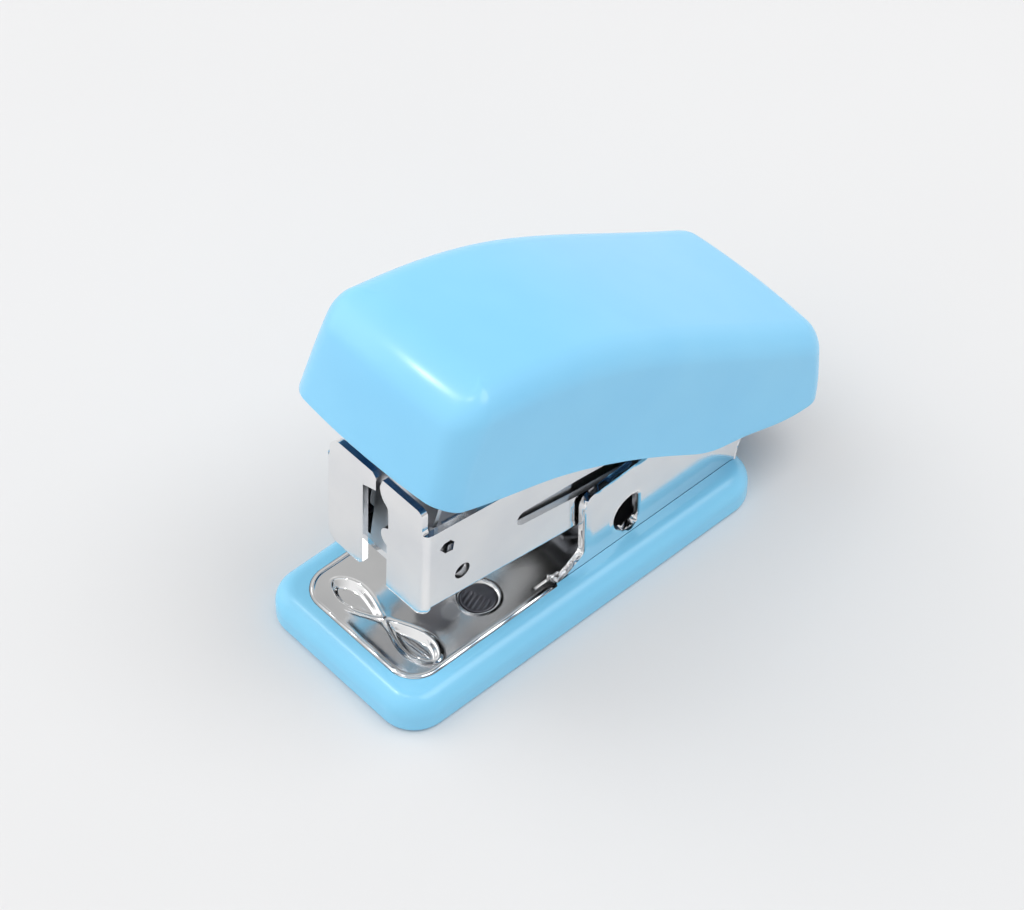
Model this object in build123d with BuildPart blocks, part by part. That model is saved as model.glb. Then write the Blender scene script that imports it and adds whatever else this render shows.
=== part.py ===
from build123d import *
import os
from math import cos, hypot, radians, sin, tan

# A mini desk stapler: a blue plastic base and cap on a chrome-plated steel mechanism.
# Millimetres. +Z is up, the stapling head points to -Y, and the origin is on the floor under the
# middle of the bounding box. The stapler stands at rest: the magazine is lifted by its return
# spring, and the handle is lifted above the magazine by the spring on the hinge pin.

# ---------------------------------------------------------------- driving dimensions
LENGTH = 58.12  # overall, from the base's front edge to the handle's rear
BASE_WIDTH = 23.0
BASE_LENGTH = 48.2
BASE_HEIGHT = 4.0  # flange top, and the top of the steel plate let into it
STEEL = 0.7  # sheet thickness of the magazine and the handle frame
FRAME_STEEL = 0.8  # sheet thickness of the base frame
PLASTIC = 1.4  # wall of the handle cover

FRONT_Y = -LENGTH / 2
PIVOT_Y = FRONT_Y + 46.0
PIVOT_Z = 12.2
PIN_R = 1.5
RUNNING = 0.05  # radial clearance of what turns on the pin

MAGAZINE_PITCH = 9.0  # nose-up angle of the magazine at rest
HANDLE_PITCH = 24.6  # nose-up angle of the handle at rest

os.makedirs("parts", exist_ok=True)


def side_plane(pitch):
    """Side view of a body pitched nose-up about the pin: x rearwards, y up, normal +X."""
    a = radians(pitch)
    return Plane(origin=(0, PIVOT_Y, PIVOT_Z), x_dir=(0, cos(a), -sin(a)), z_dir=(1, 0, 0))


def top_plane(pitch, height):
    """Plan of a pitched body at a height above the pin: x sideways, y rearwards, normal up."""
    a = radians(pitch)
    centre = Plane(origin=(0, PIVOT_Y, PIVOT_Z), x_dir=(1, 0, 0), z_dir=(0, sin(a), cos(a)))
    return centre.offset(height)


def front_plane(pitch, along, height=0.0, lean=0.0):
    """Front view of a pitched body at a point (along, height) beside the pin: x sideways, y up."""
    a = radians(pitch)
    y = PIVOT_Y + along * cos(a) + height * sin(a)
    z = PIVOT_Z - along * sin(a) + height * cos(a)
    b = radians(pitch - lean)
    return Plane(origin=(0, y, z), x_dir=(1, 0, 0), z_dir=(0, -cos(b), sin(b)))


def save(piece, label):
    """Label a finished piece and write its STEP file."""
    piece.part.label = label
    export_step(piece.part, f"parts/{label}.step")


def place(piece, plane, label):
    """Move a piece built about the origin onto a plane, label it and write its STEP file."""
    placed = piece.part.moved(plane.location)
    placed.label = label
    export_step(placed, f"parts/{label}.step")


BASE_SIDE = Plane.YZ
MAG_SIDE = side_plane(MAGAZINE_PITCH)
HANDLE_SIDE = side_plane(HANDLE_PITCH)

# ---------------------------------------------------------------- base shell
PLATE_HALF = 8.4  # between the ears' outer faces
APRON_HALF = 8.75  # the wider part in front of the ears
APRON_REAR = FRONT_Y + 22.3
PLATE_FRONT = FRONT_Y + 2.6
PLATE_REAR = FRONT_Y + 47.0
PLATE_CORNER = 3.3
BASE_CORNER = 3.9
FIT = 0.04  # gap around the steel frame in its plastic pocket
BASE_MID_Y = FRONT_Y + BASE_LENGTH / 2
RIM = 1.8
HOLLOW_TOP = 1.9
RIVET_X = 4.4
RIVET_Y = FRONT_Y + 15.2
SHANK_R = 1.0

with BuildPart() as base_shell:
    with BuildSketch(Plane.XY) as base_plan:
        with Locations((0, BASE_MID_Y)):
            RectangleRounded(BASE_WIDTH, BASE_LENGTH, BASE_CORNER)
    extrude(amount=BASE_HEIGHT)
    fillet(base_shell.faces().sort_by(Axis.Z)[-1].edges(), radius=2.1)
    fillet(base_shell.faces().sort_by(Axis.Z)[0].edges(), radius=0.5)
    # pocket for the steel frame
    with BuildSketch(Plane.XY.offset(BASE_HEIGHT - FRAME_STEEL)) as plate_pocket:
        with Locations((0, (PLATE_FRONT + APRON_REAR) / 2)):
            RectangleRounded(2 * (APRON_HALF + FIT), APRON_REAR - PLATE_FRONT + 2 * FIT, PLATE_CORNER)
        with Locations((0, (PLATE_FRONT + 10 + PLATE_REAR) / 2)):
            Rectangle(2 * (PLATE_HALF + FIT), PLATE_REAR - PLATE_FRONT - 10 + 2 * FIT)
    extrude(amount=BASE_HEIGHT, mode=Mode.SUBTRACT)
    # hollow underside with a spine and three cross ribs
    with BuildSketch(Plane.XY) as hollow:
        with Locations((0, BASE_MID_Y)):
            RectangleRounded(BASE_WIDTH - 2 * RIM, BASE_LENGTH - 2 * RIM, 1.8)
            Rectangle(1.2, BASE_LENGTH, mode=Mode.SUBTRACT)
            with GridLocations(1, 11.5, 1, 3):
                Rectangle(BASE_WIDTH, 1.0, mode=Mode.SUBTRACT)
        with Locations((-RIVET_X, RIVET_Y), (RIVET_X, RIVET_Y)):
            Circle(2.2, mode=Mode.SUBTRACT)
    extrude(amount=HOLLOW_TOP, mode=Mode.SUBTRACT)
    # rivet holes, with a recess for the clinched end
    with Locations((-RIVET_X, RIVET_Y, 0), (RIVET_X, RIVET_Y, 0)):
        Cylinder(SHANK_R, BASE_HEIGHT, align=(Align.CENTER, Align.CENTER, Align.MIN), mode=Mode.SUBTRACT)
        Cylinder(1.6, 0.9, align=(Align.CENTER, Align.CENTER, Align.MIN), mode=Mode.SUBTRACT)
save(base_shell, "base_shell")

# ---------------------------------------------------------------- base frame: plate, anvil, ears
PLATE_TOP = BASE_HEIGHT
PLATE_LOW = BASE_HEIGHT - FRAME_STEEL
DIMPLE_R = 2.0
DIMPLE_DEPTH = 0.35
ANVIL_Y = FRONT_Y + 6.9
LEAF_LENGTH = 7.3
LEAF_WIDTH = 2.8
LEAF_BELLY = 4.5
LEAF_DEPTH = 0.4
EAR_FRONT = FRONT_Y + 25.65
EAR_R = 3.5
D_HOLE = (FRONT_Y + 32.25, 7.25)
D_HOLE_R = 2.45
D_HOLE_FLAT = FRONT_Y + 33.15
LEAF_SPRING_Y = FRONT_Y + 41.0

with BuildPart() as base_frame:
    with BuildSketch(Plane.XY.offset(PLATE_LOW)) as plate_plan:
        with Locations((0, (PLATE_FRONT + APRON_REAR) / 2)):
            RectangleRounded(2 * APRON_HALF, APRON_REAR - PLATE_FRONT, PLATE_CORNER)
        with Locations((0, (PLATE_FRONT + 10 + PLATE_REAR) / 2)):
            Rectangle(2 * PLATE_HALF, PLATE_REAR - PLATE_FRONT - 10)
    extrude(amount=FRAME_STEEL)
    # side walls, bent up from the plate
    with BuildSketch(BASE_SIDE) as ear_profile:
        with BuildLine():
            foot = Polyline((PLATE_REAR, PLATE_LOW), (FRONT_Y + 21.8, PLATE_LOW), (FRONT_Y + 21.8, PLATE_TOP))
            toe = Spline(foot @ 1, (FRONT_Y + 24.0, 4.7), (EAR_FRONT, 6.1), tangents=((1, 0), (0, 1)))
            front = Line(toe @ 1, (EAR_FRONT, 12.4))
            corner = RadiusArc(front @ 1, (EAR_FRONT + 1.4, 13.8), 1.4)
            crest = Line(corner @ 1, (FRONT_Y + 34.0, 14.2))
            back_top = (PIVOT_Y - 1.0, PIVOT_Z + EAR_R)
            rise = Spline(crest @ 1, back_top, tangents=((1, 0.05), (1, 0)))
            crown = Line(back_top, (PIVOT_Y, PIVOT_Z + EAR_R))
            turn = RadiusArc(crown @ 1, (PIVOT_Y + EAR_R, PIVOT_Z), EAR_R)
            heel = Polyline(turn @ 1, (FRONT_Y + 48.3, 7.6), (PLATE_REAR, 5.2), (PLATE_REAR, PLATE_LOW))
        make_face()
    extrude(amount=PLATE_HALF, both=True)
    with BuildSketch(Plane.XY.offset(PLATE_TOP)) as between_walls:
        with Locations((0, FRONT_Y + 35)):
            Rectangle(2 * (PLATE_HALF - FRAME_STEEL), 40)
    extrude(amount=20, mode=Mode.SUBTRACT)
    # D-shaped holes through both walls, and the pin holes
    with BuildSketch(BASE_SIDE) as d_hole:
        with Locations(D_HOLE):
            Circle(D_HOLE_R)
        with Locations((D_HOLE_FLAT + 2, D_HOLE[1])):
            Rectangle(4, 8, mode=Mode.SUBTRACT)
    extrude(amount=PLATE_HALF + 1, both=True, mode=Mode.SUBTRACT)
    with BuildSketch(BASE_SIDE) as pin_hole:
        with Locations((PIVOT_Y, PIVOT_Z)):
            Circle(PIN_R)
    extrude(amount=PLATE_HALF + 1, both=True, mode=Mode.SUBTRACT)
    # stamped recess around each rivet
    with Locations((-RIVET_X, RIVET_Y, PLATE_TOP), (RIVET_X, RIVET_Y, PLATE_TOP)):
        Cylinder(DIMPLE_R, 2 * DIMPLE_DEPTH, mode=Mode.SUBTRACT)
        Cylinder(SHANK_R, 4, mode=Mode.SUBTRACT)
    with Locations((0, LEAF_SPRING_Y, PLATE_TOP)):
        Cylinder(SHANK_R, 4, mode=Mode.SUBTRACT)
    # bow-tie anvil: two leaf-shaped troughs that meet in the middle
    with BuildSketch(Plane.XY.offset(PLATE_TOP)) as leaves:
        for side in (-1, 1):
            with BuildLine():
                fore = Spline(
                    (side * 0.3, ANVIL_Y - 0.45),
                    (side * LEAF_BELLY, ANVIL_Y - LEAF_WIDTH / 2),
                    (side * LEAF_LENGTH, ANVIL_Y),
                    tangents=((side, -0.2), (side * 0.6, 1)),
                )
                aft = Spline(
                    fore @ 1,
                    (side * LEAF_BELLY, ANVIL_Y + LEAF_WIDTH / 2),
                    (side * 0.3, ANVIL_Y + 0.45),
                    tangents=((-side * 0.6, 1), (-side, -0.2)),
                )
                Line(aft @ 1, fore @ 0)
            make_face()
    extrude(amount=-LEAF_DEPTH, mode=Mode.SUBTRACT)
save(base_frame, "base_frame")

# ---------------------------------------------------------------- rivets that hold the frame down
HEAD_TOP = PLATE_TOP - 0.08
HEAD_R = DIMPLE_R - 0.15

with BuildPart() as frame_rivets:
    with Locations((-RIVET_X, RIVET_Y, 0), (RIVET_X, RIVET_Y, 0)):
        Cylinder(SHANK_R, 2.9, align=(Align.CENTER, Align.CENTER, Align.MIN))
    with Locations((-RIVET_X, RIVET_Y, 0.3), (RIVET_X, RIVET_Y, 0.3)):
        Cylinder(1.5, 0.6, align=(Align.CENTER, Align.CENTER, Align.MIN))
    with BuildSketch(Plane.XY) as rivet_foot:
        with Locations((-RIVET_X, RIVET_Y), (RIVET_X, RIVET_Y)):
            Circle(SHANK_R + 1)
    extrude(amount=0.3, mode=Mode.SUBTRACT)
    with BuildSketch(Plane.XY.offset(2.9)) as rivet_neck:
        with Locations((-RIVET_X, RIVET_Y), (RIVET_X, RIVET_Y)):
            Circle(SHANK_R)
    extrude(amount=PLATE_TOP - DIMPLE_DEPTH - 2.9)
    with BuildSketch(Plane.XY.offset(PLATE_TOP - DIMPLE_DEPTH)) as rivet_head:
        with Locations((-RIVET_X, RIVET_Y), (RIVET_X, RIVET_Y)):
            Circle(HEAD_R)
    extrude(amount=HEAD_TOP - PLATE_TOP + DIMPLE_DEPTH)
save(frame_rivets, "frame_rivets")

# ---------------------------------------------------------------- return spring and its rivet
SPRING_T = 0.35
SPRING_HALF = 3.6
SPRING_TIP_Y = FRONT_Y + 28.4
SPRING_TIP_Z = 7.7

with BuildPart() as return_spring:
    with BuildSketch(BASE_SIDE) as leaf_profile:
        with BuildLine():
            lower = Polyline((LEAF_SPRING_Y - 2.8, PLATE_TOP), (LEAF_SPRING_Y + 2.4, PLATE_TOP))
            end = Line(lower @ 1, (LEAF_SPRING_Y + 2.4, PLATE_TOP + SPRING_T))
            flat = Line(end @ 1, (LEAF_SPRING_Y - 2.8, PLATE_TOP + SPRING_T))
            crest = (SPRING_TIP_Y + 1.6, SPRING_TIP_Z)
            tip = (SPRING_TIP_Y, SPRING_TIP_Z - 0.4)
            above = Spline(flat @ 1, crest, tip, tangents=((-1, 0.02), (-1, -0.5)))
            lip = Line(tip, (tip[0] + 0.16, tip[1] - 0.31))
            under = (crest[0] + 0.1, crest[1] - SPRING_T)
            Spline(lip @ 1, under, lower @ 0, tangents=((1, 0.5), (1, -0.02)))
        make_face()
    extrude(amount=SPRING_HALF, both=True)
    with Locations((0, LEAF_SPRING_Y, PLATE_TOP)):
        Cylinder(SHANK_R, 4, mode=Mode.SUBTRACT)
save(return_spring, "return_spring")

with BuildPart() as return_spring_rivet:
    with BuildSketch(Plane.XY.offset(PLATE_LOW)) as spring_shank:
        with Locations((0, LEAF_SPRING_Y)):
            Circle(SHANK_R)
    extrude(amount=FRAME_STEEL + SPRING_T)
    with BuildSketch(Plane.XY.offset(PLATE_TOP + SPRING_T)) as spring_head:
        with Locations((0, LEAF_SPRING_Y)):
            Circle(1.7)
    extrude(amount=0.45)
    fillet(return_spring_rivet.faces().sort_by(Axis.Z)[-1].edges(), radius=0.25)
save(return_spring_rivet, "return_spring_rivet")

# ---------------------------------------------------------------- hinge pin
PIN_HEAD = 0.5

with BuildPart() as hinge_pin:
    with BuildSketch(BASE_SIDE.offset(-PLATE_HALF)) as pin_section:
        with Locations((PIVOT_Y, PIVOT_Z)):
            Circle(PIN_R)
    extrude(amount=2 * PLATE_HALF)
    for side in (-1, 1):
        with BuildSketch(BASE_SIDE.offset(side * PLATE_HALF)) as pin_head:
            with Locations((PIVOT_Y, PIVOT_Z)):
                Circle(PIN_R + 0.7)
        extrude(amount=side * PIN_HEAD)
    ends = hinge_pin.edges().filter_by(GeomType.CIRCLE).sort_by(Axis.X)
    fillet([ends[0], ends[-1]], radius=0.3)
save(hinge_pin, "hinge_pin")

# ---------------------------------------------------------------- magazine sleeve
SLEEVE_HALF = 7.4
FLOOR = -6.45  # underside of the sleeve, measured from the pin square to the magazine
WALL_TOP = 4.35
FLAP_LEAN = 6.7  # the front leans forward of square, as the driver's arc does
FLAP_FOOT = (-40.55, 0.0)  # where the front face crosses the pin's level
FLAP_LOW = -8.0
FLAP_HIGH = 7.35
NECK_HALF = 6.75  # half width of the flaps above the walls
GAP_FAR = -1.85
GAP_NEAR = 1.7
SLEEVE_REAR_R = 3.5
LEAN = tan(radians(FLAP_LEAN))
RAIL_FRONT = -37.9
RAIL_RIVETS = (-30.0, -12.0)


def flap_face(height):
    """Distance along the magazine of the outer front face at a height."""
    return FLAP_FOOT[0] - height * LEAN


with BuildPart() as magazine_sleeve:
    with BuildSketch(MAG_SIDE) as sleeve_profile:
        with BuildLine():
            lower = Polyline(
                (-1.5, FLOOR),
                (flap_face(FLOOR), FLOOR),
                (flap_face(WALL_TOP), WALL_TOP),
                (-8.0, WALL_TOP),
                (0, SLEEVE_REAR_R),
            )
            RadiusArc(lower @ 1, (SLEEVE_REAR_R, 0), SLEEVE_REAR_R)
            RadiusArc((SLEEVE_REAR_R, 0), (0.6, -SLEEVE_REAR_R + 0.05), SLEEVE_REAR_R)
            Line((0.6, -SLEEVE_REAR_R + 0.05), (-1.5, FLOOR))
        make_face()
    extrude(amount=SLEEVE_HALF, both=True)
    keel = magazine_sleeve.edges().filter_by(
        lambda e: abs(abs(e.center().X) - SLEEVE_HALF) < 0.01
        and e.length > 30
        and e.center().Z < PIVOT_Z - 2
    )
    fillet(keel, radius=0.6)
    with BuildSketch(MAG_SIDE) as sleeve_hollow:
        with BuildLine():
            Polyline(
                (flap_face(FLOOR) - 2, FLOOR + STEEL),
                (flap_face(WALL_TOP) - 2, WALL_TOP + 2),
                (SLEEVE_REAR_R + 2, WALL_TOP + 2),
                (SLEEVE_REAR_R + 2, FLOOR + STEEL),
                close=True,
            )
        make_face()
    extrude(amount=SLEEVE_HALF - STEEL, both=True, mode=Mode.SUBTRACT)
    # staple exit in front of the rail
    with BuildSketch(top_plane(MAGAZINE_PITCH, FLOOR - 0.5)) as exit_slot:
        with Locations((0, RAIL_FRONT - 2)):
            Rectangle(2 * (SLEEVE_HALF - STEEL), 4)
    extrude(amount=STEEL + 1, mode=Mode.SUBTRACT)
    # front flaps, taller and deeper than the walls: the far one has a hooked tab over the gap,
    # the near one a curved lip and a round stop
    with BuildSketch(front_plane(MAGAZINE_PITCH, *FLAP_FOOT, lean=FLAP_LEAN)) as far_flap:
        with BuildLine():
            Polyline(
                (-SLEEVE_HALF, FLAP_LOW),
                (GAP_FAR - 1.1, FLAP_LOW),
                (GAP_FAR, FLAP_LOW + 1.1),
                (GAP_FAR, 4.4),
                (0.05, 5.1),
                (0.05, FLAP_HIGH - 0.5),
                (-0.45, FLAP_HIGH),
                (-NECK_HALF, FLAP_HIGH),
                (-NECK_HALF, WALL_TOP + 0.5),
                (-SLEEVE_HALF + 0.5, WALL_TOP),
                (-SLEEVE_HALF, WALL_TOP),
                close=True,
            )
        make_face()
        fillet(far_flap.vertices().sort_by_distance((-SLEEVE_HALF, FLAP_LOW))[0], radius=1.9)
        fillet(far_flap.vertices().sort_by_distance((-NECK_HALF, FLAP_HIGH))[0], radius=1.7)
    extrude(amount=-STEEL)
    with BuildSketch(front_plane(MAGAZINE_PITCH, *FLAP_FOOT, lean=FLAP_LEAN)) as near_flap:
        with BuildLine():
            outline = Polyline(
                (GAP_NEAR + 0.2, 2.9),
                (GAP_NEAR + 0.2, 0.5),
                (GAP_NEAR, 0.0),
                (GAP_NEAR, FLAP_LOW),
                (SLEEVE_HALF, FLAP_LOW),
                (SLEEVE_HALF, WALL_TOP),
                (SLEEVE_HALF - 0.5, WALL_TOP),
                (NECK_HALF, WALL_TOP + 0.5),
                (NECK_HALF, FLAP_HIGH),
                (1.05, FLAP_HIGH),
            )
            Spline(outline @ 1, (0.65, 6.1), (1.25, 4.5), outline @ 0, tangents=((-0.3, -1), (0, -1)))
        make_face()
        fillet(near_flap.vertices().sort_by_distance((SLEEVE_HALF, FLAP_LOW))[0], radius=1.9)
        fillet(near_flap.vertices().sort_by_distance((NECK_HALF, FLAP_HIGH))[0], radius=0.8)
        with Locations((GAP_NEAR + 0.45, -0.2)):
            Circle(1.3)
    extrude(amount=-STEEL)
    # bends between the flaps and the walls
    corners = magazine_sleeve.edges().filter_by(
        lambda e: abs(abs(e.center().X) - SLEEVE_HALF) < 0.01
        and e.length > 5
        and abs(e.tangent_at(0.5).Z) > 0.9
    )
    fillet(corners, radius=0.65)
    # long slots in the walls, open to a window at the rear, round holes and lanced vents
    with BuildSketch(MAG_SIDE) as wall_openings:
        with BuildLine():
            nose = RadiusArc((-27.7, -1.25), (-27.7, 0.55), 0.9)
            Polyline(nose @ 0, (-20.4, -1.6), (-9.5, -1.6), (-9.5, 0.8), (-20.4, 0.8), nose @ 1)
        make_face()
        with Locations((-35.4, -3.1)):
            Circle(0.95)
        with BuildLine():
            Polyline(
                (-39.0, 1.75),
                (-38.5, 2.3),
                (-37.7, 2.4),
                (-37.15, 1.85),
                (-37.2, 0.8),
                (-38.2, 0.85),
                close=True,
            )
        make_face()
    extrude(amount=SLEEVE_HALF + 1, both=True, mode=Mode.SUBTRACT)
    with BuildSketch(MAG_SIDE) as sleeve_pin_hole:
        Circle(PIN_R + RUNNING)
    extrude(amount=SLEEVE_HALF + 1, both=True, mode=Mode.SUBTRACT)
    with BuildSketch(top_plane(MAGAZINE_PITCH, FLOOR - 1)) as sleeve_rivet_holes:
        with Locations((0, RAIL_RIVETS[0]), (0, RAIL_RIVETS[1])):
            Circle(SHANK_R)
    extrude(amount=2, mode=Mode.SUBTRACT)
save(magazine_sleeve, "magazine_sleeve")

# ---------------------------------------------------------------- staple rail, its rivets, guide rod
RAIL_HALF = 5.85
RAIL_REAR = -4.6
RAIL_LOW = FLOOR + STEEL
RAIL_TOP = 3.3
ROD_R = 0.8
ROD_W = -0.3
LUG_HALF = 3.0

with BuildPart() as staple_rail:
    with BuildSketch(MAG_SIDE) as rail_profile:
        with Locations(((RAIL_FRONT + RAIL_REAR) / 2, (RAIL_LOW + RAIL_TOP) / 2)):
            Rectangle(RAIL_REAR - RAIL_FRONT, RAIL_TOP - RAIL_LOW)
        fillet(rail_profile.vertices().group_by(Axis.X)[-1].sort_by(Axis.Y)[-1], radius=4)
    extrude(amount=RAIL_HALF, both=True)
    with BuildSketch(MAG_SIDE) as rail_hollow:
        with Locations(((RAIL_FRONT + RAIL_REAR) / 2, (RAIL_LOW + RAIL_TOP) / 2 + STEEL)):
            Rectangle(RAIL_REAR - RAIL_FRONT + 2, RAIL_TOP - RAIL_LOW)
    extrude(amount=RAIL_HALF - STEEL, both=True, mode=Mode.SUBTRACT)
    # lugs bent up from the rail's floor to hold the guide rod
    for at, top in ((RAIL_FRONT, 2.4), (RAIL_REAR - STEEL, 1.3)):
        with BuildSketch(MAG_SIDE) as lug:
            with Locations((at + STEEL / 2, (RAIL_LOW + top) / 2)):
                Rectangle(STEEL, top - RAIL_LOW)
        extrude(amount=LUG_HALF, both=True)
    with BuildSketch(front_plane(MAGAZINE_PITCH, RAIL_FRONT - 1, ROD_W)) as rod_holes:
        Circle(ROD_R)
    extrude(amount=-(RAIL_REAR - RAIL_FRONT + 2), mode=Mode.SUBTRACT)
    with BuildSketch(top_plane(MAGAZINE_PITCH, RAIL_LOW - 1)) as rail_rivet_holes:
        with Locations((0, RAIL_RIVETS[0]), (0, RAIL_RIVETS[1])):
            Circle(SHANK_R)
    extrude(amount=3, mode=Mode.SUBTRACT)
save(staple_rail, "staple_rail")

with BuildPart() as rail_rivets:
    with BuildSketch(top_plane(MAGAZINE_PITCH, FLOOR)) as rail_shanks:
        with Locations((0, RAIL_RIVETS[0]), (0, RAIL_RIVETS[1])):
            Circle(SHANK_R)
    extrude(amount=2 * STEEL)
    with BuildSketch(top_plane(MAGAZINE_PITCH, RAIL_LOW + STEEL)) as rail_rivet_heads:
        with Locations((0, RAIL_RIVETS[0]), (0, RAIL_RIVETS[1])):
            Circle(1.5)
    extrude(amount=0.4)
save(rail_rivets, "rail_rivets")

with BuildPart() as guide_rod:
    with BuildSketch(front_plane(MAGAZINE_PITCH, RAIL_FRONT, ROD_W)) as rod_section:
        Circle(ROD_R)
    extrude(amount=-(RAIL_REAR - RAIL_FRONT + 0.7))
    with BuildSketch(front_plane(MAGAZINE_PITCH, RAIL_FRONT, ROD_W)) as rod_head:
        Circle(ROD_R + 0.2)
    extrude(amount=0.25)
save(guide_rod, "guide_rod")

with BuildPart() as rod_clip:
    with BuildSketch(front_plane(MAGAZINE_PITCH, RAIL_REAR, ROD_W)) as clip_ring:
        Circle(1.6)
        Circle(ROD_R, mode=Mode.SUBTRACT)
        with Locations((0, 1.2)):
            Rectangle(1.0, 2.4, mode=Mode.SUBTRACT)
    extrude(amount=-0.4)
save(rod_clip, "rod_clip")

# ---------------------------------------------------------------- pusher and its spring
PUSHER_FRONT = -38.0
PUSHER_REAR = -20.3
PUSHER_HALF = 6.4
PUSHER_SHEET = 0.45
PUSHER_LOW = -4.6
PUSHER_TOP = 3.85
TONGUE_AT = -36.9

with BuildPart() as pusher:
    with BuildSketch(MAG_SIDE) as pusher_profile:
        with Locations(((PUSHER_FRONT + PUSHER_REAR) / 2, (PUSHER_LOW + PUSHER_TOP) / 2)):
            Rectangle(PUSHER_REAR - PUSHER_FRONT, PUSHER_TOP - PUSHER_LOW)
        fillet(pusher_profile.vertices().group_by(Axis.X)[-1].sort_by(Axis.Y)[0], radius=2)
    extrude(amount=PUSHER_HALF, both=True)
    with BuildSketch(MAG_SIDE) as pusher_hollow:
        with Locations(((PUSHER_FRONT + PUSHER_REAR) / 2, (PUSHER_LOW + PUSHER_TOP) / 2 - PUSHER_SHEET)):
            Rectangle(PUSHER_REAR - PUSHER_FRONT + 2, PUSHER_TOP - PUSHER_LOW)
    extrude(amount=PUSHER_HALF - PUSHER_SHEET, both=True, mode=Mode.SUBTRACT)
    shoulders = pusher.edges().filter_by(
        lambda e: abs(abs(e.center().X) - PUSHER_HALF) < 0.01
        and e.length > 15
        and abs(MAG_SIDE.to_local_coords(e.center()).Y - PUSHER_TOP) < 0.1
    )
    fillet(shoulders, radius=0.4)
    # tongue inside the rail, which rides on the guide rod
    with BuildSketch(MAG_SIDE) as tongue:
        with Locations((TONGUE_AT + STEEL / 2, (PUSHER_TOP - PUSHER_SHEET - 2.6) / 2)):
            Rectangle(STEEL, PUSHER_TOP - PUSHER_SHEET + 2.6)
    extrude(amount=LUG_HALF + 1.6, both=True)
    with BuildSketch(front_plane(MAGAZINE_PITCH, PUSHER_FRONT, ROD_W)) as tongue_hole:
        Circle(ROD_R + 0.1)
    extrude(amount=-3, mode=Mode.SUBTRACT)
save(pusher, "pusher")

COIL_R = 1.55
COIL_WIRE = 0.2
COIL_TURNS = 26
COIL_FRONT = TONGUE_AT + STEEL + COIL_WIRE + 0.05
COIL_REAR = RAIL_REAR - STEEL - COIL_WIRE - 0.05
COIL_PITCH = (COIL_REAR - COIL_FRONT) / COIL_TURNS

with BuildPart() as pusher_coil:
    with BuildLine() as pusher_line:
        Helix(pitch=COIL_PITCH, height=COIL_REAR - COIL_FRONT, radius=COIL_R)
    with BuildSketch(Plane(origin=pusher_line.line @ 0, z_dir=pusher_line.line % 0)) as pusher_wire:
        Circle(COIL_WIRE)
    sweep(is_frenet=True)
place(pusher_coil, front_plane(MAGAZINE_PITCH, COIL_REAR, ROD_W), "pusher_spring")

# ---------------------------------------------------------------- handle cover
TOP_POINTS = ((-43.0, 12.0), (-36.5, 13.05), (-27.5, 13.75), (-14.2, 12.5), (-1.0, 10.45), (8.0, 9.2))
SKIRT_POINTS = ((8.6, -0.2), (4.0, -0.9), (-1.0, -1.15), (-5.2, -1.66), (-10.0, -1.12), (-16.0, -0.18))
SKIRT_FRONT = ((-23.0, 0.5), (-30.0, 0.7), (-38.0, 0.32), (-45.0, 0.25))
# plan of the cover at four heights above the pin: height, half width, front, rear, corner radius
COVER_PLANS = (
    (-3.0, 11.4, -46.6, 12.9, 3.2),
    (3.0, 10.75, -46.05, 11.4, 2.9),
    (8.0, 9.85, -45.55, 9.6, 2.6),
    (14.5, 8.75, -44.9, 7.2, 2.4),
)
CHANNEL_TOP = 8.3  # handle frame, heights above the pin
CHANNEL_LOW = 6.0
CHANNEL_FRONT = -39.3
CHANNEL_HALF = 6.5
EAR_U = 3.5
RIBS = ((-37.9, 12.0), (-21.0, 12.7), (-8.0, 10.9))  # along, top
RIB_T = 1.0
POSTS = ((-28.0, 13.0), (-13.5, 11.8))
POST_R = 1.2
NUT_T = 0.4
BLADE_T = 0.5
BLADE_HALF = 6.35
BLADE_TIP_U = -38.96
BLADE_TIP_W = -6.67
STRIP_TOP = CHANNEL_TOP - STEEL
BLADE_TOP_U = BLADE_TIP_U - (STRIP_TOP - BLADE_TIP_W) * tan(radians(4.3))
STRIP_REAR = -32.6
STRIP_HALF = 5.6
BLADE_RIVET_X = 3.2
BLADE_RIVET_AT = -34.8
SPACER_R = 1.95
TORSION_R = 2.35
TORSION_WIRE = 0.28
TORSION_HALF = 3.5
TORSION_TURNS = 9.42
LEG_LENGTH = 8.0
ARM_LENGTH = 11.0


def cover_block(inset):
    """Closed form of the cover, inset all round: tapered plans cut to the side profile."""
    top = [(u, w - inset) for u, w in TOP_POINTS]
    with BuildPart() as block:
        for height, half, front, rear, corner in COVER_PLANS:
            with BuildSketch(top_plane(HANDLE_PITCH, height)):
                with Locations((0, (front + rear) / 2)):
                    RectangleRounded(2 * (half - inset), rear - front - 2 * inset, corner - inset * 0.8)
        loft()
        with BuildSketch(HANDLE_SIDE.offset(-14)):
            with BuildLine():
                roof = Spline(*top)
                nose = Line((-46.3 + inset, 6.0), (-45.55 + inset, 9.0))
                Spline(nose @ 1, roof @ 0, tangents=(nose % 1, roof % 0))
                crown = Spline(roof @ 1, (12.0 - inset, 5.5), tangents=(roof % 1, (0.35, -1)))
                if inset:
                    Polyline(crown @ 1, (16, 5.5), (16, -6), (-50, -6), (-50, 6), nose @ 0)
                else:
                    rear = Polyline(crown @ 1, (16, 5.5), (16, 0.8), (11.6, 0.8))
                    skirt = Spline(rear @ 1, *SKIRT_POINTS, *SKIRT_FRONT, (-50, 0.3))
                    Polyline(skirt @ 1, (-50, 6), nose @ 0)
            make_face()
        extrude(amount=28, mode=Mode.INTERSECT)
    return block.part


cover_outside = cover_block(0)

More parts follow.
